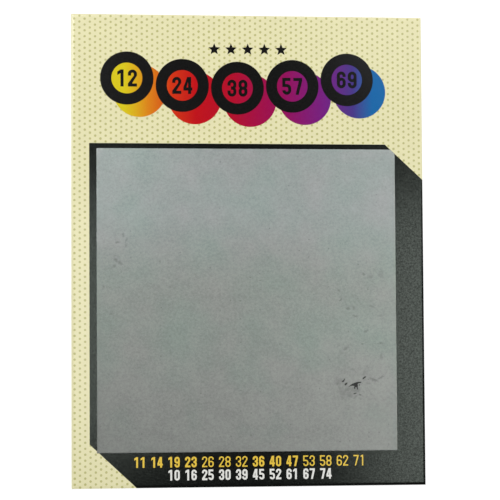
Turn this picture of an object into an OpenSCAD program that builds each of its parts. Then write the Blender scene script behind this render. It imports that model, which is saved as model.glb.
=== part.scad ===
// Scratch-off party bingo card: one printed sheet of board with a hidden 5 by 5 board under a silver film.
// The card lies flat with its printed side up. The origin is the centre of its back face, +X runs to the
// right as the card is read, +Y to its top edge and +Z out of the printed face.

/* [Card] */
// Width of the trimmed sheet
card_w = 114.3; // [108:0.1:125]
// Height of the trimmed sheet
card_h = 152.4; // [146:0.1:165]
// Thickness of the board
stock_t = 0.41; // [0.25:0.01:0.8]
// Thickness of one printed ink film
ink_t = 0.02; // [0.01:0.005:0.05]

/* [Header] */
// Bare height from the top edge down to the row of small stars
head_margin = 9.1; // [6:0.1:14]
// Height of one small star
mark_h = 3.6; // [2.5:0.1:5]
// Width of the row of small stars
mark_row_w = 25.4; // [22:0.1:40]
// Gap from the row of stars down to the middle ball
mark_gap = 2.4; // [1.5:0.1:6]
// Bare width from the left edge to the first ball
title_left = 9.3; // [6:0.1:14]
// Bare width from the last ball to the right edge
title_right = 16.1; // [10:0.1:20]
// Gap between neighbouring balls
ball_gap = 0.7; // [0.3:0.1:2]
// Height by which the end balls stand above the middle one
ball_rise = 3.0; // [0:0.1:6]
// Width of the black rim round a number window, as a share of the ball's diameter
ball_rim_share = 0.209; // [0.15:0.001:0.29]
// Shift of the coloured shadows to the right
shadow_right = 4.05; // [2:0.05:6]
// Shift of the coloured shadows down
shadow_drop = 4.0; // [2:0.05:6]
// Width by which a colour runs on under the black round it
trap_w = 0.15; // [0.05:0.05:0.3]
// Gap from the lowest shadow down to the black panel
title_gap = 5.5; // [3:0.1:10]

/* [Black panel] */
// Cream strip between the left edge and the panel
panel_left = 5.75; // [4:0.05:7.5]
// Width of the slanted end at the top right corner
slant_right_w = 12.35; // [9.5:0.05:16]
// Height of the slanted end at the lower left corner
slant_left_h = 14.0; // [11.5:0.1:16]

/* [Scratch film] */
// Distance from the left edge to the film
film_left = 8.1; // [7.6:0.05:10]
// Distance from the film to the right edge
film_right = 9.15; // [8.5:0.05:12]
// Black strip above the film
film_head = 1.65; // [1:0.05:4]
// Distance from the bottom edge up to the film
film_foot = 11.2; // [10.8:0.05:14]
// Width by which the film laps over the edge of the hidden board
film_lap = 1.0; // [0.5:0.1:2]
// Thickness of the clear release coat
release_t = 0.02; // [0.01:0.005:0.05]
// Thickness of the black blocking coat
blocking_t = 0.02; // [0.01:0.005:0.05]
// Thickness of the silver coat
silver_t = 0.03; // [0.01:0.005:0.06]

/* [Wear] */
// Width of the chip in the silver coat
chip_w = 4.2; // [2:0.1:8]
// Height of the chip
chip_h = 1.7; // [0.8:0.1:1.9]
// Length of the two nicks beside the chip
nick_w = 1.4; // [0.6:0.1:2.5]
// Height of the nicks
nick_h = 0.35; // [0.2:0.05:0.8]

/* [Hidden board] */
// Width of the lines between the cells
grid_line = 0.6; // [0.3:0.1:1.2]
// Clear width round the symbol in a cell, taken as the mean of the cell's two directions
icon_pad = 2.4; // [1.5:0.1:4]
// Width of the pizza crust
crust_w = 1.9; // [1:0.1:3]
// Width of the balloon strings
string_w = 0.35; // [0.2:0.05:0.6]
// Width of the gift ribbons
ribbon_w = 1.6; // [1:0.1:2.5]

/* [Rule numbers] */
// Height of the digits
digit_h = 3.4; // [3.1:0.05:3.6]
// Width of a digit
digit_w = 1.7; // [1.5:0.05:1.9]
// Gap between the two digits of a number
digit_gap = 0.35; // [0.2:0.05:0.5]
// Gap between two numbers
number_gap = 1.7; // [1:0.05:2]
// Stroke of the bold digits
bold_stroke = 0.6; // [0.5:0.01:0.65]
// Stroke of the light digits
light_stroke = 0.42; // [0.3:0.01:0.5]
// Bare height from the bottom edge to the white row
foot_margin = 2.3; // [1.5:0.1:2.8]
// Gap between the white row and the yellow row
row_gap = 0.75; // [0.4:0.05:1]

/* [Hidden] */
$fn = 64;

// Heights of the layers above the back of the card
ground_z = stock_t;
print_z = ground_z + ink_t;
overprint_z = print_z + ink_t;
release_z = overprint_z;
blocking_z = release_z + release_t;
silver_z = blocking_z + blocking_t;

// Title: the number and the shadow colour of each ball, from left to right
ball_numbers = [12, 24, 38, 57, 69];
shadow_colours = ["#e8a71c", "#d8321a", "#bd0a3c", "#86146e", "#1466a4"];
ball_count = len(ball_numbers);
middle_ball = (ball_count - 1) / 2;
title_w = card_w - title_left - title_right;
ball_d = (title_w - (ball_count - 1) * ball_gap) / ball_count;
ball_rim = ball_rim_share * ball_d;
window_d = ball_d - 2 * ball_rim;
mark_y = card_h - head_margin - mark_h;
ball_y = mark_y - mark_gap - ball_d / 2;
// Digits in a window, as shares of the window's diameter
window_digit_h_share = 0.55;
window_digit_w_share = 0.29;
window_digit_gap_share = 0.07;
window_stroke_share = 0.1;

// Stars: five points, and the inner corners as a share of the outer radius
star_points = 5;
star_inner_share = 0.45;
mark_count = 5;

// Black panel: a block whose shade runs down to the right and off the card
// Fall of both slants as a share of their run
slant_share = 0.933;
panel_top = ball_y - ball_d / 2 - shadow_drop - title_gap;
slant_right_h = slant_right_w * slant_share;
slant_left_w = slant_left_h / slant_share;

// Scratch film and the board under it
film_w = card_w - film_left - film_right;
film_h = panel_top - film_head - film_foot;
board_w = film_w - 2 * film_lap;
board_h = film_h - 2 * film_lap;
board_x = film_left + film_lap;
board_y = film_foot + film_lap;
// Black rims that stay at the slants: beside the board, and beside the openings of its cells
board_rim = grid_line / 2;
cell_rim = board_rim + grid_line;

// Wear: places as shares of the film's width and height
chip_share = [0.858, 0.2155];
nick_shares = [[0.82, 0.232], [0.89, 0.241]];
nick_tilts = [44, 34];

// Hidden board: the symbol in each cell, top row first, with slices all along the winning row
cells = [
    ["hat", "slice", "balloon", "star", "gift"],
    ["slice", "slice", "slice", "slice", "slice"],
    ["balloon", "gift", "star", "hat", "balloon"],
    ["star", "hat", "slice", "gift", "hat"],
    ["gift", "balloon", "hat", "slice", "star"]
];
cell_count = len(cells);
cell_w = (board_w - (cell_count + 1) * grid_line) / cell_count;
cell_h = (board_h - (cell_count + 1) * grid_line) / cell_count;
icon = (cell_w + cell_h) / 2 - 2 * icon_pad;

// Pizza slice: half its angle, and the pepperoni's places and size as shares of the symbol
slice_half_angle = 23;
pepperoni_shares = [[-0.11, 0.15], [0.13, 0.2], [0.01, -0.12]];
pepperoni_d_share = 0.15;
// Balloon, as shares of the symbol
balloon_d_share = 0.6;
knot_share = 0.1;
// Gift box, as shares of the symbol
box_w_share = 0.72;
box_h_share = 0.52;
lid_w_share = 0.84;
lid_h_share = 0.18;
bow_d_share = 0.26;
bow_hole_share = 0.1;
// Party hat, as shares of the symbol
hat_w_share = 0.62;
pompom_d_share = 0.22;
hat_dot_shares = [[-0.09, -0.34], [0.1, -0.24], [-0.02, -0.06]];
hat_dot_d_share = 0.09;

// Numbers in the two rows at the foot, and whether each is bold
yellow_numbers = [11, 14, 19, 23, 26, 28, 32, 36, 40, 47, 53, 58, 62, 71];
yellow_bold = [true, true, true, true, false, false, false, true, true, true, false, false, false, false];
white_numbers = [10, 16, 25, 30, 39, 45, 52, 61, 67, 74];
white_bold = [for (value = white_numbers) true];
yellow_y = foot_margin + digit_h + row_gap;
number_w = 2 * digit_w + digit_gap;

// Draws flat shapes, placed from the card's lower left corner, as a film of thickness t at height z
module film(z, t) {
    translate([-card_w / 2, -card_h / 2, z]) linear_extrude(t) children();
}

// A star, point up, centred on its height
module star(height) {
    turn = 180 / star_points;
    outer = height / (1 + cos(turn));
    translate([0, height / 2 - outer]) polygon([
        for (k = [0:2 * star_points - 1])
            let (r = k % 2 == 0 ? outer : outer * star_inner_share)
                [-r * sin(k * turn), r * cos(k * turn)]
    ]);
}

// A bar with round ends, from its lower left corner
module stadium(w, h) {
    translate([0, w / 2]) square([w, h - w]);
    translate([w / 2, w / 2]) circle(d = w);
    translate([w / 2, h - w / 2]) circle(d = w);
}

// A stadium drawn as a line of stroke s
module bowl(w, h, s) {
    difference() {
        stadium(w, h);
        translate([s, s]) stadium(w - 2 * s, h - 2 * s);
    }
}

// Plain digits of width w, height h and stroke s, from their lower left corner
module digit_one(w, h, s) {
    left = w / 2 - s / 4;
    polygon([[left, 0], [left + s, 0], [left + s, h], [left, h], [left - s, h - 0.7 * s],
        [left - s, h - 1.8 * s], [left, h - 1.2 * s]]);
}

module digit_two(w, h, s) {
    arc_y = h - w / 2;
    difference() {
        translate([w / 2, arc_y]) circle(d = w);
        translate([w / 2, arc_y]) circle(d = w - 2 * s);
        translate([-s, arc_y - w]) square([w + 2 * s, w]);
    }
    translate([0, arc_y - s / 2]) square([s, s]);
    translate([w - s, arc_y - s / 2]) square([s, s]);
    polygon([[0, s / 2], [1.3 * s, s / 2], [1.3 * s, s], [w, arc_y - s / 2], [w - s, arc_y - s / 2], [0, s]]);
    square([w, s]);
}

module digit_three(w, h, s) {
    difference() {
        digit_eight(w, h, s);
        translate([0, (w + s) / 2]) square([w * 0.4, h - w - s]);
    }
}

module digit_four(w, h, s) {
    bar_x = w - 1.4 * s;
    beam_y = h * 0.2;
    difference() {
        polygon([[0, beam_y], [w, beam_y], [w, beam_y + s], [bar_x + s, beam_y + s], [bar_x + s, h],
            [bar_x - s / 4, h], [0, beam_y + s]]);
        polygon([[s, beam_y + s], [bar_x, beam_y + s], [bar_x, h - 1.6 * s]]);
    }
    translate([bar_x, 0]) square([s, h / 2]);
}

module digit_five(w, h, s) {
    bowl_h = (h + s) / 2 + s / 4;
    difference() {
        bowl(w, bowl_h, s);
        translate([0, w / 2]) square([w / 2, bowl_h - w / 2]);
    }
    translate([0, bowl_h - s]) square([w / 2, s]);
    translate([0, bowl_h - s]) square([s, h - bowl_h + s]);
    translate([0, h - s]) square([w - s / 4, s]);
}

module digit_six(w, h, s) {
    bowl(w, (h + s) / 2 + s / 4, s);
    difference() {
        bowl(w, h, s);
        translate([w / 2, w / 2]) square([w / 2, h - w - s / 3]);
    }
}

module digit_seven(w, h, s) {
    foot_x = w / 4;
    polygon([[foot_x, 0], [foot_x + s, 0], [w, h - s], [w, h], [0, h], [0, h - s], [w - 1.1 * s, h - s]]);
}

module digit_eight(w, h, s) {
    bowl_h = (h + s) / 2;
    bowl(w, bowl_h, s);
    translate([0, h - bowl_h]) bowl(w, bowl_h, s);
}

module digit(value, w, h, s) {
    if (value == 0) bowl(w, h, s);
    if (value == 1) digit_one(w, h, s);
    if (value == 2) digit_two(w, h, s);
    if (value == 3) digit_three(w, h, s);
    if (value == 4) digit_four(w, h, s);
    if (value == 5) digit_five(w, h, s);
    if (value == 6) digit_six(w, h, s);
    if (value == 7) digit_seven(w, h, s);
    if (value == 8) digit_eight(w, h, s);
    if (value == 9) translate([w, h]) rotate(180) digit_six(w, h, s);
}

// A number of two digits
module number(value, w, h, s, gap) {
    digit(floor(value / 10), w, h, s);
    translate([w + gap, 0]) digit(value % 10, w, h, s);
}

// A row of numbers centred on the card
module number_row(values, bold, y) {
    row_w = len(values) * number_w + (len(values) - 1) * number_gap;
    for (k = [0:len(values) - 1])
        translate([(card_w - row_w) / 2 + k * (number_w + number_gap), y])
            number(values[k], digit_w, digit_h, bold[k] ? bold_stroke : light_stroke, digit_gap);
}

// Centre of a ball: the row sags to the middle one
function ball_centre(k) =
    let (side = (k - middle_ball) / middle_ball)
        [title_left + ball_d / 2 + k * (ball_d + ball_gap), ball_y + ball_rise * side * side];

// A disc at the centre of every ball
module ball_discs(d) {
    for (k = [0:ball_count - 1]) translate(ball_centre(k)) circle(d = d);
}

// The black block with its shade, which runs off the right and bottom edges. Both slants can be moved in
// by a rim, which is measured along Y
module panel_shape(rim = 0) {
    rim_w = rim / slant_share;
    polygon([[panel_left + slant_left_w + rim_w, 0], [card_w, 0], [card_w, panel_top - slant_right_h - rim],
        [card_w - slant_right_w - rim_w, panel_top], [panel_left, panel_top],
        [panel_left, slant_left_h + rim]]);
}

// The hidden board: a wider slant would cut its corner and leave the rim
module board_shape() {
    intersection() {
        translate([board_x, board_y]) square([board_w, board_h]);
        panel_shape(board_rim);
    }
}

// The openings of all cells
module cell_shapes() {
    intersection() {
        for (row = [0:cell_count - 1], column = [0:cell_count - 1])
            translate([board_x + grid_line + column * (cell_w + grid_line),
                board_y + grid_line + row * (cell_h + grid_line)])
                square([cell_w, cell_h]);
        panel_shape(cell_rim);
    }
}

// The film: its top right corner is cut along the panel's slant
module film_shape() {
    intersection() {
        translate([film_left, film_foot]) square([film_w, film_h]);
        polygon([[0, 0], [card_w, 0], [card_w, panel_top - slant_right_h], [card_w - slant_right_w, panel_top],
            [0, panel_top]]);
    }
}

// The pointed oval that two equal arcs enclose
module lens(w, h) {
    r = (w * w + h * h) / (4 * h);
    intersection() {
        translate([0, r - h / 2]) circle(r);
        translate([0, h / 2 - r]) circle(r);
    }
}

// The chip and the nicks that wear has made in the silver coat
module wear_shape() {
    translate([film_left + chip_share.x * film_w, film_foot + chip_share.y * film_h]) lens(chip_w, chip_h);
    for (k = [0:len(nick_shares) - 1])
        translate([film_left + nick_shares[k].x * film_w, film_foot + nick_shares[k].y * film_h])
            rotate(nick_tilts[k]) square([nick_w, nick_h], center = true);
}

// Draws its children at the centre of every cell that holds the symbol
module in_cells(symbol) {
    for (row = [0:cell_count - 1], column = [0:cell_count - 1])
        if (cells[row][column] == symbol)
            translate([board_x + grid_line + cell_w / 2 + column * (cell_w + grid_line),
                board_y + board_h - grid_line - cell_h / 2 - row * (cell_h + grid_line)])
                children();
}

// Cuts a slice, its point down at the origin of its children, out of them
module slice_cut() {
    reach = 2 * icon * tan(slice_half_angle);
    translate([0, -icon / 2]) intersection() {
        children();
        polygon([[0, 0], [reach, 2 * icon], [-reach, 2 * icon]]);
    }
}

module pepperoni_shape() {
    for (place = pepperoni_shares) translate(place * icon) circle(d = pepperoni_d_share * icon);
}

module balloon_shape() {
    knot = knot_share * icon;
    centre_y = (1 - balloon_d_share) * icon / 2;
    translate([0, centre_y]) circle(d = balloon_d_share * icon);
    translate([0, centre_y - balloon_d_share * icon / 2])
        polygon([[-knot, -knot], [knot, -knot], [0, knot]]);
}

// A string of two half rings below the knot
module string_shape() {
    top = (0.5 - balloon_d_share - knot_share) * icon;
    d = (top + icon / 2) / 2;
    for (side = [0, 1])
        translate([0, top - d / 2 - side * d]) difference() {
            circle(d = d + string_w);
            circle(d = d - string_w);
            translate([side == 0 ? 0 : -icon, -icon / 2]) square([icon, icon]);
        }
}

module bow_discs(d) {
    bow_y = (box_h_share + lid_h_share - 0.5 + bow_d_share * 0.4) * icon;
    for (side = [-1, 1]) translate([side * bow_d_share * icon * 0.4, bow_y]) circle(d = d);
}

// The ribbon down the middle of a gift box, with the bow on top
module ribbon_shape() {
    translate([-ribbon_w / 2, -icon / 2]) square([ribbon_w, (box_h_share + lid_h_share) * icon]);
    bow_discs(bow_d_share * icon);
}

module box_shape() {
    translate([-box_w_share * icon / 2, -icon / 2]) square([box_w_share * icon, box_h_share * icon]);
    translate([-lid_w_share * icon / 2, (box_h_share - 0.5) * icon])
        square([lid_w_share * icon, lid_h_share * icon]);
}

module pompom_shape() {
    translate([0, (1 - pompom_d_share) * icon / 2]) circle(d = pompom_d_share * icon);
}

module hat_shape() {
    difference() {
        polygon([[-hat_w_share * icon / 2, -icon / 2], [hat_w_share * icon / 2, -icon / 2],
            [0, (1 - pompom_d_share) * icon / 2]]);
        pompom_shape();
        for (place = hat_dot_shares) translate(place * icon) circle(d = hat_dot_d_share * icon);
    }
}

// The board and the grounds printed on it
module card_stock() {
    color("#f4f4f0") film(0, stock_t) square([card_w, card_h]);
}

module cream_ground() {
    color("#eeeabe") film(ground_z, ink_t) difference() {
        square([card_w, card_h]);
        panel_shape();
    }
}

module black_panel() {
    color("#22221f") film(ground_z, ink_t) difference() {
        panel_shape();
        board_shape();
    }
}

module board_ground() {
    color("#f6f2dc") film(ground_z, ink_t) board_shape();
}

// The header and its title
module header_stars() {
    pitch = (mark_row_w - mark_h) / (mark_count - 1);
    color("#151513") film(print_z, ink_t)
        for (k = [0:mark_count - 1])
            translate([card_w / 2 + (k - (mark_count - 1) / 2) * pitch, mark_y + mark_h / 2]) star(mark_h);
}

module title_shadows() {
    for (k = [0:ball_count - 1])
        color(shadow_colours[k]) film(print_z, ink_t) difference() {
            translate(ball_centre(k) + [shadow_right, -shadow_drop]) circle(d = ball_d);
            ball_discs(window_d + 2 * trap_w);
        }
}

module title_windows() {
    for (k = [0:ball_count - 1])
        color(shadow_colours[k]) film(print_z, ink_t)
            translate(ball_centre(k)) circle(d = window_d + 2 * trap_w);
}

module title_balls() {
    color("#1b1b1a") film(overprint_z, ink_t) difference() {
        ball_discs(ball_d);
        ball_discs(window_d);
    }
}

module title_numbers() {
    w = window_digit_w_share * window_d;
    h = window_digit_h_share * window_d;
    gap = window_digit_gap_share * window_d;
    color("#1b1b1a") film(overprint_z, ink_t)
        for (k = [0:ball_count - 1])
            translate(ball_centre(k) - [w + gap / 2, h / 2])
                number(ball_numbers[k], w, h, window_stroke_share * window_d, gap);
}

// The rows of numbers at the foot
module rule_numbers_yellow() {
    color("#ecc848") film(print_z, ink_t) number_row(yellow_numbers, yellow_bold, yellow_y);
}

module rule_numbers_white() {
    color("#ebebe6") film(print_z, ink_t) number_row(white_numbers, white_bold, foot_margin);
}

// The hidden board
module board_grid() {
    color("#22221f") film(print_z, ink_t) difference() {
        board_shape();
        cell_shapes();
    }
}

module slice_crusts() {
    color("#b9772f") film(print_z, ink_t) in_cells("slice") slice_cut() difference() {
        circle(icon);
        circle(icon - crust_w);
    }
}

module slice_cheese() {
    color("#f3c843") film(print_z, ink_t) in_cells("slice") difference() {
        slice_cut() circle(icon - crust_w);
        pepperoni_shape();
    }
}

module slice_pepperoni() {
    color("#bf3420") film(print_z, ink_t) in_cells("slice") pepperoni_shape();
}

module balloons() {
    color("#c8103c") film(print_z, ink_t) in_cells("balloon") balloon_shape();
}

module balloon_strings() {
    color("#22221f") film(print_z, ink_t) in_cells("balloon") string_shape();
}

module gift_boxes() {
    color("#1466a4") film(print_z, ink_t) in_cells("gift") difference() {
        box_shape();
        ribbon_shape();
    }
}

module gift_ribbons() {
    color("#e8a71c") film(print_z, ink_t) in_cells("gift") difference() {
        ribbon_shape();
        bow_discs(bow_hole_share * icon);
    }
}

module party_hats() {
    color("#6d2a86") film(print_z, ink_t) in_cells("hat") hat_shape();
}

module hat_pompoms() {
    color("#e0701c") film(print_z, ink_t) in_cells("hat") pompom_shape();
}

module stars() {
    color("#e0701c") film(print_z, ink_t) in_cells("star") star(icon);
}

// The scratch-off layers
module release_coat() {
    color("#dfe3e2") film(release_z, release_t) film_shape();
}

module blocking_coat() {
    color("#2b2d2b") film(blocking_z, blocking_t) film_shape();
}

module silver_coat() {
    color("#969d9a") film(silver_z, silver_t) difference() {
        film_shape();
        wear_shape();
    }
}

card_stock();
cream_ground();
black_panel();
board_ground();
header_stars();
title_shadows();
title_windows();
title_balls();
title_numbers();
rule_numbers_yellow();
rule_numbers_white();
board_grid();
slice_crusts();
slice_cheese();
slice_pepperoni();
balloons();
balloon_strings();
gift_boxes();
gift_ribbons();
party_hats();
hat_pompoms();
stars();
release_coat();
blocking_coat();
silver_coat();
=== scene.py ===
"""A scratch-off bingo card: printed board, satin inks, a dotted ground and a worn silver film.

Pieces are built in millimetres from the card's lower left corner. piece() turns them into metres
of the frame.
"""

import math
import random

import bmesh
import bpy
from mathutils import Matrix, Vector
from mathutils import noise as mnoise
from mathutils.bvhtree import BVHTree
from mathutils.geometry import delaunay_2d_cdt, intersect_point_line


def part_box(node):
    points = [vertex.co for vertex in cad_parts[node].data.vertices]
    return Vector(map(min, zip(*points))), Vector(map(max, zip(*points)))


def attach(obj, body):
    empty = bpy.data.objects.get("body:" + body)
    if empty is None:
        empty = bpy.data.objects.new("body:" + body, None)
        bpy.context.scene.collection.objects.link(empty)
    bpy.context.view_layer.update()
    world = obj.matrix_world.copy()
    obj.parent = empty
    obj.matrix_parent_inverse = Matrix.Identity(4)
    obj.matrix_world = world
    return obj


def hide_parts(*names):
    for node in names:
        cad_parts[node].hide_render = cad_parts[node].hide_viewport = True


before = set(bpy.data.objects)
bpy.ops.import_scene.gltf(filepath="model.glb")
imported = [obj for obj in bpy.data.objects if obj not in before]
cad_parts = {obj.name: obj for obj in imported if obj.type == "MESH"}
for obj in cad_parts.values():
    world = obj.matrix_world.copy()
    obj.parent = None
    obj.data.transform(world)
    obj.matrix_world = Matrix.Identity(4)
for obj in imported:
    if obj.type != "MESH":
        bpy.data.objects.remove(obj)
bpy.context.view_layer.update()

MM = 0.001

# Camera: where it stands and aims in millimetres of the frame, its roll in degrees and its lens
CAMERA_AT = (-72.20, -37.70, 668.43)
CAMERA_AIM = (0.42, -0.04, 0.0)
CAMERA_ROLL = -0.345
LENS = 150.0

# Colours, as sRGB
CREAM = (0.914, 0.895, 0.718)
OLIVE = (0.763, 0.750, 0.503)
BLACK = (0.034, 0.036, 0.033)
TITLE_BLACK = (0.032, 0.032, 0.031)
BOARD_WHITE = (0.950, 0.948, 0.930)
PALE = (0.965, 0.948, 0.865)
SILVER = (0.637, 0.667, 0.642)
SILVER_GREEN = (0.625, 0.671, 0.640)
SILVER_ROSE = (0.649, 0.662, 0.644)
BLOCKING = (0.120, 0.125, 0.120)
BLACK_GLOSS = (0.94, 1.0, 0.95)
YELLOW = (0.925, 0.784, 0.282)
WHITE = (0.922, 0.922, 0.902)
BROWN = (0.725, 0.467, 0.184)
CHEESE = (0.953, 0.784, 0.263)
RED = (0.749, 0.204, 0.125)
CRIMSON = (0.784, 0.063, 0.235)
BLUE = (0.078, 0.400, 0.643)
GOLD = (0.910, 0.655, 0.110)
PURPLE = (0.427, 0.165, 0.525)
ORANGE = (0.878, 0.439, 0.110)
# Stops of the title's colours, as shares of the title's width
RAINBOW = ((0.04, (0.86, 0.79, 0.08)), (0.13, (0.87, 0.51, 0.06)), (0.21, (0.83, 0.20, 0.04)),
           (0.30, (0.76, 0.02, 0.07)), (0.44, (0.70, 0.01, 0.16)), (0.62, (0.58, 0.01, 0.34)),
           (0.78, (0.45, 0.10, 0.51)), (0.88, (0.27, 0.20, 0.53)), (0.95, (0.02, 0.40, 0.66)))

# Rolled edges of the trimmed sheet, in millimetres, and mesh lines over them as shares of their width
ROLL_W = 0.88
ROLL_DROP = 0.125
ROLL_STEP_SHARES = (0.0, 0.1, 0.24, 0.42, 0.65, 1.0, 1.2)
# Edges turned by more than this many degrees stay sharp in shading
SHARP_ANGLE = 25
# Cut wall of the board, downwards: height as a share of the rim's, and inset in millimetres
WALL = ((0.72, 0.010), (0.5, 0.018), (0.25, 0.010), (0.06, 0.0), (0.0, 0.025))

# Dots of the cream ground, in millimetres: a staggered lattice. The shares vary each dot's radius
DOT_PITCH_X = 1.6745
DOT_PITCH_Y = 1.892
DOT_FIRST = (0.999, 1.343)
DOT_R = 0.39
DOT_R_SHARES = (0.94, 1.06)
DOT_SIDES = 12
DOT_RISE = 0.006
DOT_DEPTH = 0.012
DOT_WELD = 0.0002
DOT_SEED = 11

# Scratch film: heights above the blocking coat as shares of the thickest part
FILM_SHARES = {"edge": 0.45, "ridge": 0.95, "body": 0.75}
# In millimetres: where those heights lie in from the edge, and the outline's steps, corners and jitter
FILM_RIDGE_AT = 0.12
FILM_BODY_AT = 0.34
FILM_STEP = 1.1
FILM_CORNER_R = 0.3
CORNER_CHORDS = 3
FILM_JITTER = 0.035
FILM_SEED = 5
# The worn patch of the film in card millimetres, its relief as a share of the thickest part, and the
# grains and the slice of the noise that gives that relief
WORN_LO = (83.5, 27.0)
WORN_HI = (102.5, 37.0)
WORN_STEP = 0.42
WORN_RELIEF_SHARE = 0.22
WORN_GRAINS_PER_MM = 1.3
WORN_SLICE = 0.5
# Steps along the outlines of the holes, in millimetres
HOLE_STEP = 0.16
# What the coin wore through the film, as outlines in card millimetres
HOLES = (
    ((89.16, 31.69), (89.60, 32.10), (90.01, 32.47), (90.77, 32.87), (91.35, 33.12), (92.08, 33.35),
     (92.81, 33.40), (93.43, 33.40), (93.53, 33.20), (93.31, 33.00), (92.73, 32.94), (92.39, 32.80),
     (92.30, 32.52), (92.47, 32.13), (92.30, 31.80), (92.44, 31.31), (92.32, 30.84), (92.10, 30.91),
     (92.03, 31.41), (91.80, 31.74), (91.51, 31.57), (91.42, 31.06), (91.16, 31.12), (91.07, 31.61),
     (91.22, 32.01), (90.76, 32.14), (90.18, 32.10), (89.67, 31.90)),
    ((92.62, 32.51), (92.87, 32.60), (93.09, 32.37), (92.91, 32.17), (92.68, 32.26)),
    ((93.86, 34.56), (94.20, 34.77), (94.54, 35.08), (95.00, 35.20), (95.18, 35.02), (94.94, 34.77),
     (94.56, 34.54), (94.27, 34.22), (94.01, 34.27)),
    ((87.02, 33.69), (87.50, 33.88), (87.87, 34.23), (88.05, 34.52), (88.22, 34.38), (88.04, 33.87),
     (87.69, 33.35), (87.31, 33.29)),
    ((87.97, 32.69), (88.37, 33.01), (88.88, 33.25), (88.99, 33.05), (88.70, 32.54), (88.38, 32.20),
     (88.06, 32.37)),
    ((90.81, 29.49), (91.06, 29.74), (91.54, 29.85), (91.97, 29.88), (91.72, 29.57), (91.24, 29.40)),
    ((92.51, 29.19), (92.94, 29.30), (93.47, 29.27), (93.38, 29.07), (92.88, 29.04)),
)
# Rubbed marks in the film: middle, half length, half width, turn in degrees and strength
MARKS = (
    ((97.6, 34.05), 1.5, 0.42, -24, 0.55), ((99.9, 34.75), 1.5, 0.35, 27, 0.45),
    ((95.8, 34.2), 0.35, 0.25, 0, 0.5), ((95.9, 32.8), 0.9, 0.3, -15, 0.3),
    ((85.8, 32.8), 0.35, 0.25, 0, 0.6), ((86.3, 33.4), 1.6, 1.2, 30, 0.25),
    ((88.9, 30.9), 1.9, 0.7, 25, 0.4), ((91.7, 28.8), 0.6, 0.16, 8, 0.55),
    ((91.3, 28.2), 0.5, 0.16, 12, 0.4), ((93.2, 27.9), 0.4, 0.2, 0, 0.4),
    ((91.5, 31.0), 1.5, 1.1, 0, 0.4), ((89.6, 29.3), 1.3, 0.8, -30, 0.3),
    ((87.2, 30.0), 1.0, 2.2, 12, 0.25), ((90.5, 37.4), 0.5, 0.35, 0, 0.3),
    ((94.6, 36.6), 1.0, 0.5, 60, 0.2),
)
# Fainter rubbed marks near the left and right edges, written the same way
FAINT_MARKS = (
    ((16.6, 81.0), 0.7, 0.35, 80, 0.39), ((17.6, 79.4), 0.9, 0.4, 70, 0.33),
    ((14.7, 78.6), 0.9, 0.35, 0, 0.47), ((17.5, 77.5), 0.8, 0.35, 60, 0.29),
    ((14.2, 72.9), 0.8, 0.4, -35, 0.44), ((15.6, 72.0), 1.0, 0.45, -30, 0.39),
    ((13.7, 70.9), 0.6, 0.4, 40, 0.39), ((10.3, 64.4), 0.5, 0.5, 0, 0.36),
    ((28.4, 72.2), 0.3, 0.7, 0, 0.29), ((94.6, 68.3), 0.55, 0.5, 0, 0.55),
    ((96.7, 67.4), 0.9, 0.5, 10, 0.29), ((100.3, 68.4), 0.9, 1.4, 0, 0.21),
    ((87.0, 60.0), 0.7, 0.3, 50, 0.55), ((89.4, 57.1), 0.7, 0.5, 0, 0.44),
    ((91.2, 57.3), 0.4, 0.8, 10, 0.34), ((91.7, 54.7), 0.9, 0.35, -15, 0.39),
    ((97.1, 57.8), 1.2, 0.35, -20, 0.31), ((99.9, 54.8), 1.1, 0.5, 0, 0.29),
    ((95.3, 49.8), 0.9, 0.4, 25, 0.44), ((93.9, 45.7), 0.4, 0.3, 0, 0.59),
    ((100.1, 45.9), 0.7, 0.35, 0, 0.52), ((88.6, 44.2), 0.9, 0.45, 35, 0.39),
    ((100.1, 41.5), 0.5, 0.9, 0, 0.34), ((86.5, 62.9), 0.4, 0.5, 0, 0.31),
)

# Lengths and areas below this count as none
TINY = 1e-6


def flat(corner):
    """A corner in metres of the frame as millimetres from the card's lower left corner."""
    return Vector(((corner.x - card_lo.x) / MM, (corner.y - card_lo.y) / MM))


card_lo, card_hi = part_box("card_stock")
CARD = flat(card_hi)
GROUND_Z, PRINT_Z = [corner.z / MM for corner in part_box("cream_ground")]
FILM_BOTTOM, FILM_TOP = [corner.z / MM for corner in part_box("silver_coat")]
FILM_LO, FILM_HI = [flat(corner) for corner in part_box("silver_coat")]
BOARD_LO, BOARD_HI = [flat(corner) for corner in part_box("board_ground")]
TITLE_ENDS = [flat(corner).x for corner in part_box("title_shadows")]


def rectangle(low, high):
    """The corners of an upright rectangle, counter-clockwise."""
    return [Vector(p) for p in ((low.x, low.y), (high.x, low.y), (high.x, high.y), (low.x, high.y))]


def panel_outline():
    """The six corners of the black panel, counter-clockwise from the foot of its lower left slant."""
    low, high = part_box("black_panel")
    points = [v.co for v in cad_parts["black_panel"].data.vertices]
    foot = min(p.x for p in points if abs(p.y - low.y) < TINY)
    head = max(p.x for p in points if abs(p.y - high.y) < TINY)
    left = min(p.y for p in points if abs(p.x - low.x) < TINY)
    right = max(p.y for p in points if abs(p.x - high.x) < TINY)
    lower_and_right = [(foot, low.y), (high.x, low.y), (high.x, right)]
    upper_and_left = [(head, high.y), (low.x, high.y), (low.x, left)]
    return [flat(Vector((x, y, 0))) for x, y in lower_and_right + upper_and_left]


EDGES = rectangle(Vector((0, 0)), CARD)
BOARD = rectangle(BOARD_LO, BOARD_HI)
PANEL = panel_outline()


# Flat geometry

def sides(outline):
    """The sides of a closed outline, as pairs of points."""
    return list(zip(outline, outline[1:] + outline[:1]))


def leftness(point, a, b):
    """How far a point lies to the left of the line from a to b."""
    along = (b - a).normalized()
    return along.x * (point.y - a.y) - along.y * (point.x - a.x)


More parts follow.
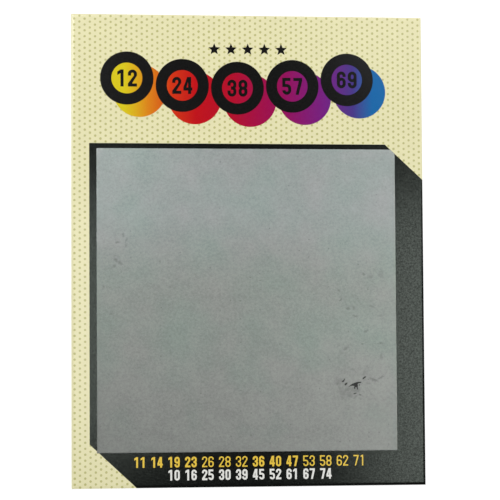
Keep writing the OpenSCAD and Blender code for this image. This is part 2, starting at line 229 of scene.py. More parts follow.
def inside(point, outline):
    """Whether a point lies within a convex outline that runs counter-clockwise."""
    return all(leftness(point, a, b) >= 0 for a, b in sides(outline))


def clip(polygon, a, b):
    """The part of a flat polygon to the left of the line from a to b."""
    kept = []
    for p, q in sides(polygon):
        before, after = leftness(p, a, b), leftness(q, a, b)
        if before >= 0:
            kept.append(p)
        if before * after < 0:
            kept.append(p + (q - p) * (before / (before - after)))
    return kept


def encloses(outline, point):
    """Whether a closed outline of any shape goes around a point."""
    odd = False
    for a, b in sides(outline):
        if (a.y > point.y) != (b.y > point.y):
            odd ^= point.x < a.x + (point.y - a.y) / (b.y - a.y) * (b.x - a.x)
    return odd


def gap_to(outline, point):
    """The distance from a point to a closed outline."""
    nearest = math.inf
    for a, b in sides(outline):
        foot, share = intersect_point_line(point, a, b)
        if share < 0:
            foot = a
        elif share > 1:
            foot = b
        nearest = min(nearest, (point - foot.to_2d()).length)
    return nearest


def rounded(outline, r):
    """A convex outline whose corners follow a round of radius r in a few chords each."""
    made = []
    for before, corner, after in zip(outline[-1:] + outline[:-1], outline, outline[1:] + outline[:1]):
        inward = (before - corner).normalized() * r
        outward = (after - corner).normalized() * r
        for k in range(CORNER_CHORDS + 1):
            share = k / CORNER_CHORDS
            made.append(corner + inward * (1 - share) ** 2 + outward * share ** 2)
    return made


def ragged(outline, step, jitter, rng):
    """An outline divided into steps, with each point moved a little to its left."""
    made = []
    for a, b in sides(outline):
        count = max(1, round((b - a).length / step))
        along = (b - a) / count
        for k in range(count):
            shift = Vector((-along.y, along.x)).normalized() * rng.uniform(0, jitter)
            made.append(a + along * k + shift)
    return made


def ring_inside(outline, gap):
    """An outline moved to its left by a gap."""
    made = []
    for before, point, after in zip(outline[-1:] + outline[:-1], outline, outline[1:] + outline[:1]):
        along = (after - before).normalized()
        made.append(point + Vector((-along.y, along.x)) * gap)
    return made


def area(polygon):
    """The area of a flat polygon, which is positive if it runs counter-clockwise."""
    return sum(a.x * b.y - a.y * b.x for a, b in sides(polygon)) / 2


def split(polygons, axis, places):
    """Cuts flat polygons along lines at certain places of x, for axis 0, or of y, for axis 1."""
    for place in places:
        a = Vector((place, 0)) if axis == 0 else Vector((0, place))
        b = a + (Vector((0, 1)) if axis == 0 else Vector((1, 0)))
        halves = [clip(polygon, *line) for polygon in polygons for line in ((a, b), (b, a))]
        polygons = [half for half in halves if len(half) > 2 and area(half) > TINY]
    return polygons


def fall(x, y):
    """How far the face of the sheet rolls down at a point near its trimmed edges."""
    drops = []
    for near in (min(x, CARD.x - x), min(y, CARD.y - y)):
        rise = min(max(near, 0) / ROLL_W, 1)
        drops.append(ROLL_DROP * (1 - rise) ** 2)
    return math.hypot(*drops)


def steps(length):
    """Places of the lines that divide the rolled edges finely and leave the middle whole."""
    near = [share * ROLL_W for share in ROLL_STEP_SHARES]
    return near + [length - place for place in reversed(near)]


# Meshes

def thicken(mesh, bottom):
    """Closes a sheet of faces with walls and a lower side. bottom() gives its height at each vertex."""
    faces = mesh.faces[:]
    loops = [edge.link_loops[0] for edge in mesh.edges if edge.is_boundary]
    rim = [(loop.vert, loop.link_loop_next.vert) for loop in loops]
    under = {v: mesh.verts.new((v.co.x, v.co.y, bottom(v.co))) for v in mesh.verts[:]}
    for face in faces:
        mesh.faces.new([under[v] for v in reversed(face.verts)])
    for a, b in rim:
        mesh.faces.new((b, a, under[a], under[b]))


def piece(name, mesh, material, body, slot, *nodes):
    """Turns a mesh in card millimetres into an object of the frame that rides on a body."""
    bmesh.ops.transform(mesh, matrix=Matrix.Diagonal((MM, MM, MM, 1)), verts=mesh.verts[:])
    bmesh.ops.translate(mesh, vec=(card_lo.x, card_lo.y, 0), verts=mesh.verts[:])
    data = bpy.data.meshes.new(name)
    mesh.to_mesh(data)
    mesh.free()
    data.shade_smooth()
    data.set_sharp_from_angle(angle=math.radians(SHARP_ANGLE))
    data.materials.append(material)
    made = bpy.data.objects.new(name, data)
    bpy.context.scene.collection.objects.link(made)
    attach(made, body)
    if nodes:
        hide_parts(*nodes)
    return made


def sheet_grid(top):
    """The face of the sheet as a mesh that follows the rolled edges, and its rows of vertices."""
    mesh = bmesh.new()
    xs, ys = steps(CARD.x), steps(CARD.y)
    rows = [[mesh.verts.new((x, y, top - fall(x, y))) for x in xs] for y in ys]
    for below, above in zip(rows, rows[1:]):
        for k in range(len(xs) - 1):
            mesh.faces.new((below[k], below[k + 1], above[k + 1], above[k]))
    return mesh, rows


def ink_piece(name, holds, material, slot, node):
    """One ink area of the printed face, one film thick. holds() tells whether it covers a point."""
    mesh, _ = sheet_grid(PRINT_Z)
    for a, b in sides(PANEL) + sides(BOARD):
        along = b - a
        bmesh.ops.bisect_plane(mesh, geom=mesh.verts[:] + mesh.edges[:] + mesh.faces[:], dist=TINY,
                               plane_co=a.to_3d(), plane_no=(along.y, -along.x, 0))
    away = [face for face in mesh.faces if not holds(face.calc_center_median())]
    bmesh.ops.delete(mesh, geom=away, context="FACES")
    thicken(mesh, lambda co: co.z - (PRINT_Z - GROUND_Z))
    return piece(name, mesh, material, "card", slot, node)


def board_piece(material):
    """The board: its face rolls down at the edges, and its cut wall is drawn in a little."""
    mesh, rows = sheet_grid(GROUND_Z)
    right = [row[-1] for row in rows[1:]]
    left = [row[0] for row in rows[-2:0:-1]]
    rim = rows[0] + right + rows[-1][-2::-1] + left
    ring = rim
    for share, inset in WALL:
        lower = []
        for v in rim:
            x = min(max(v.co.x, inset), CARD.x - inset)
            y = min(max(v.co.y, inset), CARD.y - inset)
            lower.append(mesh.verts.new((x, y, share * v.co.z)))
        for (a, b), (above_a, above_b) in zip(sides(lower), sides(ring)):
            mesh.faces.new((a, b, above_b, above_a))
        ring = lower
    mesh.faces.new(ring[::-1])
    return piece("board_sheet", mesh, material, "card", "board_stock", "card_stock")


def cover_trees(*nodes):
    """Search trees of the nodes that are printed over the ground."""
    trees = []
    for name in nodes:
        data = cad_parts[name].data
        corners = [v.co for v in data.vertices]
        trees.append(BVHTree.FromPolygons(corners, [p.vertices[:] for p in data.polygons]))
    return trees


def covered(points, trees):
    """Whether each of the flat points has a printed shape over it."""
    for point in points:
        above = Vector((card_lo.x + point.x * MM, card_lo.y + point.y * MM, card_hi.z + MM))
        if not any(tree.ray_cast(above, Vector((0, 0, -1)))[0] for tree in trees):
            return False
    return True


def dot_outline(centre, rng):
    """One printed dot, cut at the trimmed edges and at the black panel. It may be empty."""
    turn = rng.uniform(0, math.tau)
    r = DOT_R * rng.uniform(*DOT_R_SHARES)
    turns = [turn + math.tau * k / DOT_SIDES for k in range(DOT_SIDES)]
    dot = [centre + Vector((r * math.cos(t), r * math.sin(t))) for t in turns]
    nearest = min(sides(PANEL), key=lambda side: leftness(centre, *side))
    cuts = sides(EDGES)
    if leftness(centre, *nearest) > -r:
        cuts.append(nearest[::-1])
    for a, b in cuts:
        dot = clip(dot, a, b)
        if len(dot) < 3:
            return []
    return dot if area(dot) > TINY else []


def dots_piece(material):
    """The fine dots of the cream ground, each a thin raised film of ink of its own."""
    rng = random.Random(DOT_SEED)
    trees = cover_trees("title_balls", "title_shadows", "header_stars")
    mesh = bmesh.new()
    for column in range(-1, int(CARD.x / DOT_PITCH_X) + 2):
        for row in range(-1, int(CARD.y / DOT_PITCH_Y) + 2):
            centre = Vector((DOT_FIRST[0] + column * DOT_PITCH_X,
                             DOT_FIRST[1] + (row + (column % 2) / 2) * DOT_PITCH_Y))
            dot = dot_outline(centre, rng)
            if not dot or covered(dot, trees):
                continue
            parts = split(split([dot], 0, steps(CARD.x)), 1, steps(CARD.y))
            for part in parts:
                corners = [(p.x, p.y, PRINT_Z - fall(p.x, p.y) + DOT_RISE) for p in part]
                mesh.faces.new([mesh.verts.new(corner) for corner in corners])
    bmesh.ops.remove_doubles(mesh, verts=mesh.verts[:], dist=DOT_WELD)
    thicken(mesh, lambda co: co.z - DOT_DEPTH)
    return piece("cream_dots", mesh, material, "card", "cream_ink")


def film_height(share):
    """A height in the film, from its share of the thickest part."""
    return FILM_BOTTOM + share * (FILM_TOP - FILM_BOTTOM)


def worn_height(point, holes):
    """The film's height in the worn patch: uneven, and heaped around the holes."""
    near = min(gap_to(hole, point) for hole in holes)
    grain = (point.x * WORN_GRAINS_PER_MM, point.y * WORN_GRAINS_PER_MM, WORN_SLICE)
    relief = mnoise.noise(grain) * WORN_RELIEF_SHARE
    heap = (1 - FILM_SHARES["body"]) * math.exp(-((near - FILM_BODY_AT) / FILM_BODY_AT) ** 2)
    return film_height(min(1, FILM_SHARES["body"] + relief + heap))


def worn_points(holes, rng):
    """Points of the film's face in the worn patch, with their heights. None lies in a hole."""
    # These lie in the holes, but for a few past their thin ends
    places = [p for hole in holes for p in ring_inside(hole, FILM_RIDGE_AT)]
    across, up = [int((b - a) / WORN_STEP) for a, b in zip(WORN_LO, WORN_HI)]
    for i in range(across):
        for j in range(up):
            x = WORN_LO[0] + (i + rng.random()) * WORN_STEP
            y = WORN_LO[1] + (j + rng.random()) * WORN_STEP
            places.append(Vector((x, y)))
    kept = []
    for p in places:
        in_film = not any(encloses(hole, p) for hole in holes)
        if in_film and min(gap_to(hole, p) for hole in holes) > HOLE_STEP / 2:
            kept.append((p, worn_height(p, holes)))
    return kept


def film_points():
    """The film's face: points with their heights, the sides that bound it, and its outlines."""
    rng = random.Random(FILM_SEED)
    corners = clip(rectangle(FILM_LO, FILM_HI), PANEL[2], PANEL[3])
    outer = ragged(rounded(corners, FILM_CORNER_R), FILM_STEP, FILM_JITTER, rng)
    # The holes are turned to run counter-clockwise too, so that the jitter moves points into them
    holes = [ragged([Vector(p) for p in hole[::-1]], HOLE_STEP, FILM_JITTER, rng) for hole in HOLES]
    heights = {name: film_height(share) for name, share in FILM_SHARES.items()}
    points = []
    bounds = []
    for outline in [outer] + holes:
        first = len(points)
        points += [(p, heights["edge"]) for p in outline]
        bounds += [(first + k, first + (k + 1) % len(outline)) for k in range(len(outline))]
    points += [(p, heights["ridge"]) for p in ring_inside(outer, FILM_RIDGE_AT)]
    points += [(p, heights["body"]) for p in ring_inside(outer, FILM_BODY_AT)]
    points += worn_points(holes, rng)
    return points, bounds, outer, holes


def film_piece(material):
    """The silver film, with ragged edges and the holes that a coin wore in it."""
    points, bounds, outer, holes = film_points()
    cut = delaunay_2d_cdt([p for p, _ in points], bounds, [], 0, TINY, True)
    flat_points, _, triangles, origins = cut[:4]
    mesh = bmesh.new()
    verts = [mesh.verts.new((p.x, p.y, points[ids[0]][1])) for p, ids in zip(flat_points, origins)]
    for triangle in triangles:
        middle = sum((flat_points[k] for k in triangle), Vector((0, 0))) / len(triangle)
        if encloses(outer, middle) and not any(encloses(hole, middle) for hole in holes):
            mesh.faces.new([verts[k] for k in triangle])
    bmesh.ops.delete(mesh, geom=[v for v in mesh.verts if not v.link_faces], context="VERTS")
    thicken(mesh, lambda co: FILM_BOTTOM)
    return piece("silver_film", mesh, material, "scratch_layer", "scratch_silver", "silver_coat")


# Materials

def linear(colour):
    """An sRGB colour as the linear value that a shader takes."""
    return [c / 12.92 if c <= 0.04045 else ((c + 0.055) / 1.055) ** 2.4 for c in colour] + [1.0]


def shaded(colour, share):
    """A linear colour times a share."""
    return [c * share for c in linear(colour)[:3]] + [1.0]


def grey(level):
    """A linear grey."""
    return [level] * 3 + [1.0]


# Where most values of a noise lie, and their middle
NOISE_ENDS = (0.3, 0.7)
NOISE_MIDDLE = 0.5
# A rubbed mark's depth in millimetres, and the multiples of its half sizes where it starts and is full
MARK_DEPTH = 1000.0
MARK_FADE = (1.5, 0.2)
# The share of a speck's radius within which it is at its strongest
SPECK_CORE = 0.3
# By how much a roughness varies about its middle
ROUGHNESS_SPREAD = 0.03


class Nodes:
    """The node tree of a material or a world."""

    def __init__(self, tree):
        self.tree = tree

    def add(self, kind, **settings):
        """A new node with some of its settings."""
        node = self.tree.nodes.new(kind)
        for name, value in settings.items():
            setattr(node, name, value)
        return node

    def join(self, output, target):
        """Links one node's output to another's input."""
        self.tree.links.new(output, target)

    def feed(self, value, target):
        """Gives an input its value: an output, a number or a linear colour."""
        if isinstance(value, bpy.types.NodeSocket):
            self.join(value, target)
        else:
            target.default_value = value

    def math(self, operation, a, b):
        """The result of a sum on outputs or numbers."""
        node = self.add("ShaderNodeMath", operation=operation)
        self.feed(a, node.inputs[0])
        self.feed(b, node.inputs[1])
        return node.outputs[0]

    def carry(self, value, ends, results, smooth=False):
        """A value carried from one range to another, and held at their ends."""
        node = self.add("ShaderNodeMapRange", interpolation_type="SMOOTHSTEP" if smooth else "LINEAR")
        for name, number in zip(("From Min", "From Max", "To Min", "To Max"), (*ends, *results)):
            node.inputs[name].default_value = number
        self.join(value, node.inputs["Value"])
        return node.outputs[0]

    def shader_mix(self, factor, a, b):
        """A mix of two shaders."""
        node = self.add("ShaderNodeMixShader")
        for output, target in zip((factor, a, b), node.inputs):
            self.join(output, target)
        return node.outputs[0]


class Finish(Nodes):
    """A material whose texture coordinates are the card's own millimetres."""

    def __init__(self, name, roughness, metallic=0.0, specular=0.5):
        self.material = bpy.data.materials.new(name)
        self.material.use_nodes = True
        super().__init__(self.material.node_tree)
        self.surface = self.tree.nodes["Principled BSDF"]
        self.surface.inputs["Roughness"].default_value = roughness
        self.surface.inputs["Metallic"].default_value = metallic
        self.surface.inputs["Specular IOR Level"].default_value = specular
        source = self.add("ShaderNodeTexCoord")
        place = self.add("ShaderNodeVectorMath", operation="MULTIPLY_ADD")
        place.inputs[1].default_value = (1 / MM, 1 / MM, 1 / MM)
        place.inputs[2].default_value = (-card_lo.x / MM, -card_lo.y / MM, 0)
        self.join(source.outputs["Object"], place.inputs[0])
        self.place = place.outputs[0]

    def noise(self, size, detail, stretch=(1, 1, 1)):
        """Noise from 0 to 1 whose grains are about size millimetres across."""
        place = self.add("ShaderNodeVectorMath", operation="MULTIPLY")
        place.inputs[1].default_value = stretch
        self.join(self.place, place.inputs[0])
        node = self.add("ShaderNodeTexNoise")
        node.inputs["Scale"].default_value = 1 / size
        node.inputs["Detail"].default_value = detail
        self.join(place.outputs[0], node.inputs["Vector"])
        return node.outputs["Fac"]

    def spread(self, value, low, high):
        """Noise about its middle, widened to run from low to high."""
        return self.carry(value, NOISE_ENDS, (low, high))

    def layers(self, first, *others):
        """A sum of noises, each widened to run from 0 to its own weight."""
        total = self.spread(first[0], 0, first[1])
        for value, weight in others:
            total = self.math("ADD", total, self.spread(value, 0, weight))
        return total

    def blend(self, factor, a, b):
        """A mix of two colours."""
        node = self.add("ShaderNodeMix", data_type="RGBA")
        self.join(factor, node.inputs["Factor"])
        self.feed(a, node.inputs[6])
        self.feed(b, node.inputs[7])
        return node.outputs[2]

    def times(self, a, b):
        """The product of two colours."""
        node = self.add("ShaderNodeMix", data_type="RGBA", blend_type="MULTIPLY")
        node.inputs["Factor"].default_value = 1.0
        self.feed(a, node.inputs[6])
        self.feed(b, node.inputs[7])
        return node.outputs[2]

    def along(self, axis, ends, low, high, smooth=True):
        """Runs from low to high between two places along the card's X or Y."""
        parts = self.add("ShaderNodeSeparateXYZ")
        self.join(self.place, parts.inputs[0])
        return self.carry(parts.outputs[axis], ends, (low, high), smooth)

    def wobbled(self, grains_per_mm):
        """The places moved about by up to half a millimetre, which makes edges of marks uneven."""
        noise = self.add("ShaderNodeTexNoise")
        noise.inputs["Scale"].default_value = grains_per_mm
        self.join(self.place, noise.inputs["Vector"])
        moved = self.add("ShaderNodeVectorMath", operation="ADD")
        self.join(self.place, moved.inputs[0])
        self.join(noise.outputs["Color"], moved.inputs[1])
        centred = self.add("ShaderNodeVectorMath", operation="SUBTRACT")
        centred.inputs[1].default_value = [NOISE_MIDDLE] * 3
        self.join(moved.outputs[0], centred.inputs[0])
        return centred.outputs[0]

    def smudge(self, place, centre, length, width, turn, strength):
        """Up to strength in a soft oval mark and 0 beyond it."""
        oval = self.add("ShaderNodeMapping", vector_type="TEXTURE")
        oval.inputs["Location"].default_value = (*centre, 0)
        oval.inputs["Rotation"].default_value = (0, 0, math.radians(turn))
        oval.inputs["Scale"].default_value = (length, width, MARK_DEPTH)
        self.join(place, oval.inputs["Vector"])
        reach = self.add("ShaderNodeVectorMath", operation="LENGTH")
        self.join(oval.outputs[0], reach.inputs[0])
        return self.carry(reach.outputs["Value"], MARK_FADE, (0, strength), smooth=True)

    def cells(self, size, dimensions):
        """Cells of about a size in millimetres: the distance from each one's middle, and its chance."""
        node = self.add("ShaderNodeTexVoronoi", voronoi_dimensions=dimensions)
        node.inputs["Scale"].default_value = 1 / size
        self.join(self.place, node.inputs["Vector"])
        chance = self.add("ShaderNodeSeparateColor")
        self.join(node.outputs["Color"], chance.inputs[0])
        return node.outputs["Distance"], chance.outputs[0]

    def specks(self, spacing, r, rarity, strength):
        """Up to strength in round specks of radius r, at random places. Most of them are faint."""
        distance, chance = self.cells(spacing, "2D")
        fade = (r / spacing, SPECK_CORE * r / spacing)
        speck = self.carry(distance, fade, (0, strength), smooth=True)
        return self.math("MULTIPLY", speck, self.math("POWER", chance, rarity))

    def colour(self, output):
        """Sets the colour."""
        self.join(output, self.surface.inputs["Base Color"])

    def uneven_roughness(self, noise, middle):
        """Sets a roughness that a noise varies a little about its middle."""
        uneven = self.spread(noise, middle - ROUGHNESS_SPREAD, middle + ROUGHNESS_SPREAD)
        self.join(uneven, self.surface.inputs["Roughness"])

    def bump(self, height, depth):
        """Raises the surface by up to depth millimetres, in shading only."""
        node = self.add("ShaderNodeBump")
        node.inputs["Distance"].default_value = depth * MM
        self.join(height, node.inputs["Height"])
        self.join(node.outputs["Normal"], self.surface.inputs["Normal"])


# Noises are given by the size of their grains in millimetres, their detail and at times their stretch.
# Depths are in millimetres too.
INK_ROUGHNESS = 0.16
INK_CLOUD = (2.6, 3.0)
INK_SPECK = (0.22, 1.0)
INK_MOTTLE = 0.035
GLOSS = 0.5
GLOSS_GRAIN = (0.55, 3.0)
GLOSS_SPREAD = 0.03
BLACK_GLOSS_SPREAD = 0.23
TOOTH = (0.45, 2.0)
TOOTH_DEPTH = 0.0012
HALF_EACH = 0.5


def satin(made):
    """Gives an ink the soft tooth of its satin varnish."""
    tooth = made.noise(*TOOTH)
    made.uneven_roughness(tooth, INK_ROUGHNESS)
    made.bump(tooth, TOOTH_DEPTH)


def ink(name, colour, gloss_spread=GLOSS_SPREAD, gloss_tint=(1, 1, 1)):
    """A printed ink under a satin varnish: faint mottling, fine specks and an uneven gloss."""
    made = Finish(name, INK_ROUGHNESS)
    made.surface.inputs["Specular Tint"].default_value = linear(gloss_tint)
    gloss = made.spread(made.noise(*GLOSS_GRAIN), GLOSS - gloss_spread, GLOSS + gloss_spread)
    made.join(gloss, made.surface.inputs["Specular IOR Level"])
    mix = made.layers((made.noise(*INK_CLOUD), HALF_EACH), (made.noise(*INK_SPECK), HALF_EACH))
    made.colour(made.blend(mix, shaded(colour, 1 - INK_MOTTLE), shaded(colour, 1 + INK_MOTTLE)))
    satin(made)
    return made.material


RAINBOW_SPECK = (0.3, 2.0)
RAINBOW_DARK = 0.94
RAINBOW_LIGHT = 1.04


def rainbow_ink():
    """The title's ink, which runs from yellow through red and purple to blue."""
    made = Finish("rainbow_ink", INK_ROUGHNESS)
    ramp = made.add("ShaderNodeValToRGB")
    stops = ramp.color_ramp.elements
    # New stops get their own places and colours below
    while len(stops) < len(RAINBOW):
        stops.new(RAINBOW[-1][0])
    for stop, (place, colour) in zip(stops, RAINBOW):
        stop.position = place
        stop.color = linear(colour)
    made.join(made.along("X", TITLE_ENDS, 0, 1, smooth=False), ramp.inputs["Fac"])
    speck = made.blend(made.noise(*RAINBOW_SPECK), grey(RAINBOW_DARK), grey(RAINBOW_LIGHT))
    made.colour(made.times(ramp.outputs["Color"], speck))
    satin(made)
    return made.material


BOARD_ROUGHNESS = 0.85
BOARD_GLOSS = 0.3
BOARD_CLOUD = (3.0, 3.0)
BOARD_FIBRE = (0.12, 4.0, (1.0, 0.25, 3.0))
BOARD_DARK = 0.93
FIBRE_DEPTH = 0.004


def board_stock():
    """Matt white board, with short fibres that also show on its cut edges."""
    made = Finish("board_stock", BOARD_ROUGHNESS, specular=BOARD_GLOSS)
    fibre = made.noise(*BOARD_FIBRE)
    mix = made.layers((made.noise(*BOARD_CLOUD), HALF_EACH), (fibre, HALF_EACH))
    made.colour(made.blend(mix, shaded(BOARD_WHITE, BOARD_DARK), linear(BOARD_WHITE)))
    made.bump(fibre, FIBRE_DEPTH)
    return made.material


SILVER_ROUGHNESS = 0.36
SILVER_METAL = 1.0
SILVER_CLOUD = (7.0, 3.0)
SILVER_MOTTLE = (0.8, 4.0)
SILVER_TOOTH = (0.16, 2.0)
SILVER_DEPTH = 0.003
FLAKE_SIZE = 0.22
# Weights of the cloud, the mottle and the flakes in the coat's tone, and the ends of that tone
CLOUD_SHARE = 0.22
MOTTLE_SHARE = 0.42
FLAKE_SHARE = 0.36
SILVER_DARK = 0.80
SILVER_LIGHT = 1.18
# Fine specks, in millimetres but for their rarity and strength, and how dark rubbed places are
SPECK_SPACING = 3.2
SPECK_R = 0.34
SPECK_RARITY = 7.0
SPECK_STRENGTH = 0.5
RUBBED_DARK = 0.35
# How finely the edges of rubbed marks wobble
WOBBLE_PER_MM = 2.2
# Painted light: the coat is painted a little darker below than above: where that painted change lies,
# and by how much of its range
PAINTED_LIGHT_CHANGE = (62.0, 92.0)
PAINTED_LIGHT_TONE = 0.17
# What its colour is multiplied by above that change, as linear values: painted light that makes it a
# little bluer there
PAINTED_COOL_ABOVE = [0.995, 1.0, 1.05, 1.0]
# Its hue drifts between green and rose, and is nearer to the rose towards the foot
HUE_DRIFT = (14.0, 2.0)
HUE_CHANGE = (26.0, 46.0)
HUE_SHIFT = 0.6


def scratch_silver():
    """The scratch coat: metal flakes in a matt binder, mottled where the screen laid it unevenly, with
    painted light that makes its upper part lighter and a little bluer.
    """
    made = Finish("scratch_silver", SILVER_ROUGHNESS, metallic=SILVER_METAL)
    mottle = made.noise(*SILVER_MOTTLE)
    flake = made.cells(FLAKE_SIZE, "3D")[1]
    tone_and_painted_light = made.layers((made.noise(*SILVER_CLOUD), CLOUD_SHARE), (mottle, MOTTLE_SHARE))
    tone_and_painted_light = made.math("ADD", tone_and_painted_light, made.math("MULTIPLY", flake, FLAKE_SHARE))
    # Painted light: the upper part of the coat is made lighter than its foot
    tone_and_painted_light = made.math("ADD", tone_and_painted_light, made.along("Y", PAINTED_LIGHT_CHANGE, -PAINTED_LIGHT_TONE, PAINTED_LIGHT_TONE))
    drift = made.spread(made.noise(*HUE_DRIFT), 0, 1)
    hue = made.math("ADD", drift, made.along("Y", HUE_CHANGE, HUE_SHIFT, 0))
    dark = made.blend(hue, shaded(SILVER_GREEN, SILVER_DARK), shaded(SILVER_ROSE, SILVER_DARK))
    light = made.blend(hue, shaded(SILVER_GREEN, SILVER_LIGHT), shaded(SILVER_ROSE, SILVER_LIGHT))
    # Painted light: the upper part of the coat is made a little bluer
    painted_cool_light = made.blend(made.along("Y", PAINTED_LIGHT_CHANGE, 0, 1), grey(1.0), PAINTED_COOL_ABOVE)
    silver = made.times(made.blend(tone_and_painted_light, dark, light), painted_cool_light)
    place = made.wobbled(WOBBLE_PER_MM)
    rubbed = made.specks(SPECK_SPACING, SPECK_R, SPECK_RARITY, SPECK_STRENGTH)
    for centre, length, width, turn, strength in MARKS + FAINT_MARKS:
        mark = made.smudge(place, centre, length, width, turn, strength)
        rubbed = made.math("MAXIMUM", rubbed, mark)
    made.colour(made.blend(rubbed, silver, shaded(SILVER, RUBBED_DARK)))
    made.uneven_roughness(mottle, SILVER_ROUGHNESS)
    made.bump(made.noise(*SILVER_TOOTH), SILVER_DEPTH)
    return made.material


BLOCKING_ROUGHNESS = 0.6
BLOCKING_TOOTH = (0.25, 3.0)
BLOCKING_DARK = 0.8
BLOCKING_LIGHT = 1.2
BLOCKING_DEPTH = 0.003


def blocking_ink():
    """The matt black coat under the silver."""
    made = Finish("blocking_ink", BLOCKING_ROUGHNESS)
    tooth = made.noise(*BLOCKING_TOOTH)
    made.colour(made.blend(tooth, shaded(BLOCKING, BLOCKING_DARK), shaded(BLOCKING, BLOCKING_LIGHT)))
    made.bump(tooth, BLOCKING_DEPTH)
    return made.material


RELEASE_ROUGHNESS = 0.2
RELEASE_STREAK = (1.2, 2.0, (1.0, 0.3, 1.0))
RELEASE_DARK = [0.85, 0.87, 0.86, 1.0]
RELEASE_LIGHT = [0.92, 0.93, 0.92, 1.0]
RELEASE_ALPHA = 0.12
RELEASE_DEPTH = 0.002


def release_varnish():
    """The clear coat over the hidden board."""
    made = Finish("release_varnish", RELEASE_ROUGHNESS)
    streak = made.noise(*RELEASE_STREAK)
    made.colour(made.blend(streak, RELEASE_DARK, RELEASE_LIGHT))
    made.surface.inputs["Alpha"].default_value = RELEASE_ALPHA
    made.bump(streak, RELEASE_DEPTH)
    return made.material


black_ink = ink("black_ink", BLACK, gloss_spread=BLACK_GLOSS_SPREAD, gloss_tint=BLACK_GLOSS)
title_ink = ink("title_black_ink", TITLE_BLACK)
cream_ink = ink("cream_ink", CREAM)
rainbow = rainbow_ink()
orange_ink = ink("orange_ink", ORANGE)

FINISHES = {
    "header_stars": title_ink,
    "title_balls": title_ink,
    "title_numbers": title_ink,
    "title_shadows": rainbow,
    "title_windows": rainbow,
    "rule_numbers_yellow": ink("yellow_ink", YELLOW),
    "rule_numbers_white": ink("white_ink", WHITE),
    "board_ground": ink("pale_ink", PALE),
    "board_grid": black_ink,
    "balloon_strings": black_ink,
    "slice_crusts": ink("brown_ink", BROWN),
    "slice_cheese": ink("cheese_ink", CHEESE),
    "slice_pepperoni": ink("red_ink", RED),
    "balloons": ink("crimson_ink", CRIMSON),
    "gift_boxes": ink("blue_ink", BLUE),
    "gift_ribbons": ink("gold_ink", GOLD),
    "party_hats": ink("purple_ink", PURPLE),
    "hat_pompoms": orange_ink,
    "stars": orange_ink,
    "release_coat": release_varnish(),
    "blocking_coat": blocking_ink(),
}
for node, finish in FINISHES.items():
    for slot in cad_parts[node].material_slots:
        slot.material = finish

board_piece(board_stock())
ink_piece("cream_print", lambda p: not inside(p, PANEL), cream_ink, "cream_ink", "cream_ground")
ink_piece("black_print", lambda p: inside(p, PANEL) and not inside(p, BOARD), black_ink, "black_ink",
          "black_panel")
dots_piece(ink("olive_ink", OLIVE))
film_piece(scratch_silver())


# Floor, light and camera

# Floor, in metres: its width, its gap below the card, and how far its hole lies in from the card's edge
FLOOR_W = 4.0
FLOOR_GAP = 0.0001
FLOOR_HOLE_INSET = 0.0002
# Its colour, and the strength of its glow
FLOOR_ALBEDO = 0.45
FLOOR_GLOW = 0.72
# World by height, as sines of elevation: white below the band, an even ring above it, dark overhead
BAND_ENDS = (0.10, 0.20)
RING_ENDS = (0.60, 0.92)
RING = 0.90
DOME = 0.05
# Lamps that face down beside the camera: x, y, width and height in millimetres, and radiance
LAMP_Z = 668
LAMPS = {
    "left_strip": (-28, -8, 70, 166, 2.6),
    "right_strip": (215, -33, 130, 216, 2.8),
    "upper_window": (-136, 196, 100, 116, 5.4),
}
# Softboxes that face the card: place of the middle in millimetres, and radiance
SOFTBOX_W = 340
SOFTBOXES = {
    "left_softbox": ((-208, 238, 430), 2.4),
    "right_softbox": ((230, 240, 430), 1.2),
}


def seen_directly(nodes):
    """1 for camera, glossy and transmission rays, and 0 for the rest."""
    path = nodes.add("ShaderNodeLightPath")
    seen = path.outputs["Is Camera Ray"]
    for name in ("Is Glossy Ray", "Is Transmission Ray"):
        seen = nodes.math("MAXIMUM", seen, path.outputs[name])
    return seen


def floor_material():
    """A pale floor that keeps shadows and glows enough to look white. Light passes it from below."""
    made = bpy.data.materials.new("floor")
    made.use_nodes = True
    nodes = Nodes(made.node_tree)
    surface = nodes.tree.nodes["Principled BSDF"]
    surface.inputs["Base Color"].default_value = grey(FLOOR_ALBEDO)
    surface.inputs["Roughness"].default_value = 1.0
    surface.inputs["Specular IOR Level"].default_value = 0.0
    surface.inputs["Emission Color"].default_value = grey(1.0)
    seen = seen_directly(nodes)
    nodes.join(nodes.math("MULTIPLY", seen, FLOOR_GLOW), surface.inputs["Emission Strength"])
    clear = nodes.add("ShaderNodeBsdfTransparent")
    white = nodes.add("ShaderNodeEmission")
    under = nodes.shader_mix(seen, clear.outputs[0], white.outputs[0])
    side = nodes.add("ShaderNodeNewGeometry")
    mix = nodes.shader_mix(side.outputs["Backfacing"], surface.outputs[0], under)
    nodes.join(mix, nodes.tree.nodes["Material Output"].inputs["Surface"])
    return made


def make_floor():
    """A wide floor with a hole under the card, so that light from below reaches the card's back."""
    low = Vector((card_lo.x + FLOOR_HOLE_INSET, card_lo.y + FLOOR_HOLE_INSET))
    high = Vector((card_hi.x - FLOOR_HOLE_INSET, card_hi.y - FLOOR_HOLE_INSET))
    inner = rectangle(low, high)
    outer = rectangle(Vector((-FLOOR_W / 2, -FLOOR_W / 2)), Vector((FLOOR_W / 2, FLOOR_W / 2)))
    data = bpy.data.meshes.new("floor")
    corners = [(p.x, p.y, -FLOOR_GAP) for p in outer + inner]
    count = len(outer)
    faces = [(a, b, b + count, a + count) for a, b in sides(list(range(count)))]
    data.from_pydata(corners, [], faces)
    data.materials.append(floor_material())
    floor = bpy.data.objects.new("floor", data)
    bpy.context.scene.collection.objects.link(floor)


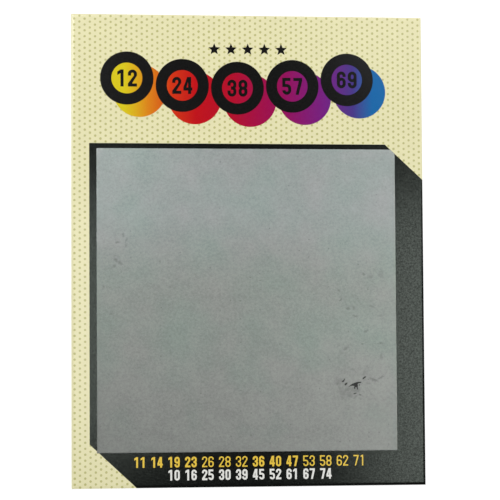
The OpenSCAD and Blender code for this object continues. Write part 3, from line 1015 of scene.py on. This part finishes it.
def make_world():
    """A world that is white about the horizon and below, pale in a ring above it and dark overhead."""
    world = bpy.data.worlds.new("studio")
    bpy.context.scene.world = world
    world.use_nodes = True
    nodes = Nodes(world.node_tree)
    place = nodes.add("ShaderNodeTexCoord")
    parts = nodes.add("ShaderNodeSeparateXYZ")
    nodes.join(place.outputs["Generated"], parts.inputs[0])
    low = nodes.carry(parts.outputs["Z"], BAND_ENDS, (1.0, 0.0), smooth=True)
    ring = nodes.carry(parts.outputs["Z"], RING_ENDS, (RING, DOME), smooth=True)
    background = nodes.tree.nodes["Background"]
    background.inputs["Color"].default_value = grey(1.0)
    nodes.join(nodes.math("MAXIMUM", low, ring), background.inputs["Strength"])


def make_lamp(name, place, width, height, radiance):
    """A soft area lamp, which the camera doesn't see. It faces down until it is turned."""
    data = bpy.data.lights.new(name, "AREA")
    data.shape = "RECTANGLE"
    data.size = width * MM
    data.size_y = height * MM
    data.energy = radiance * math.pi * data.size * data.size_y
    lamp = bpy.data.objects.new(name, data)
    lamp.location = Vector(place) * MM
    lamp.visible_camera = False
    bpy.context.scene.collection.objects.link(lamp)
    return lamp


def make_lamps():
    """The lamps beside the camera and the softboxes."""
    for name, (x, y, width, height, radiance) in LAMPS.items():
        make_lamp(name, (x, y, LAMP_Z), width, height, radiance)
    for name, (place, radiance) in SOFTBOXES.items():
        softbox = make_lamp(name, place, SOFTBOX_W, SOFTBOX_W, radiance)
        softbox.rotation_euler = (-softbox.location).to_track_quat("-Z", "Y").to_euler()


def make_camera():
    """The camera, upright along the card's +Y but for a small roll."""
    back = (Vector(CAMERA_AT) - Vector(CAMERA_AIM)).normalized()
    right = Vector((0, 1, 0)).cross(back).normalized()
    upright = Matrix((right, back.cross(right), back)).transposed()
    data = bpy.data.cameras.new("camera")
    data.lens = LENS
    camera = bpy.data.objects.new("camera", data)
    turned = upright @ Matrix.Rotation(math.radians(CAMERA_ROLL), 3, "Z")
    camera.matrix_world = Matrix.Translation(Vector(CAMERA_AT) * MM) @ turned.to_4x4()
    bpy.context.scene.collection.objects.link(camera)
    bpy.context.scene.camera = camera


make_floor()
make_world()
make_lamps()
make_camera()
bpy.context.scene.view_settings.view_transform = "Standard"
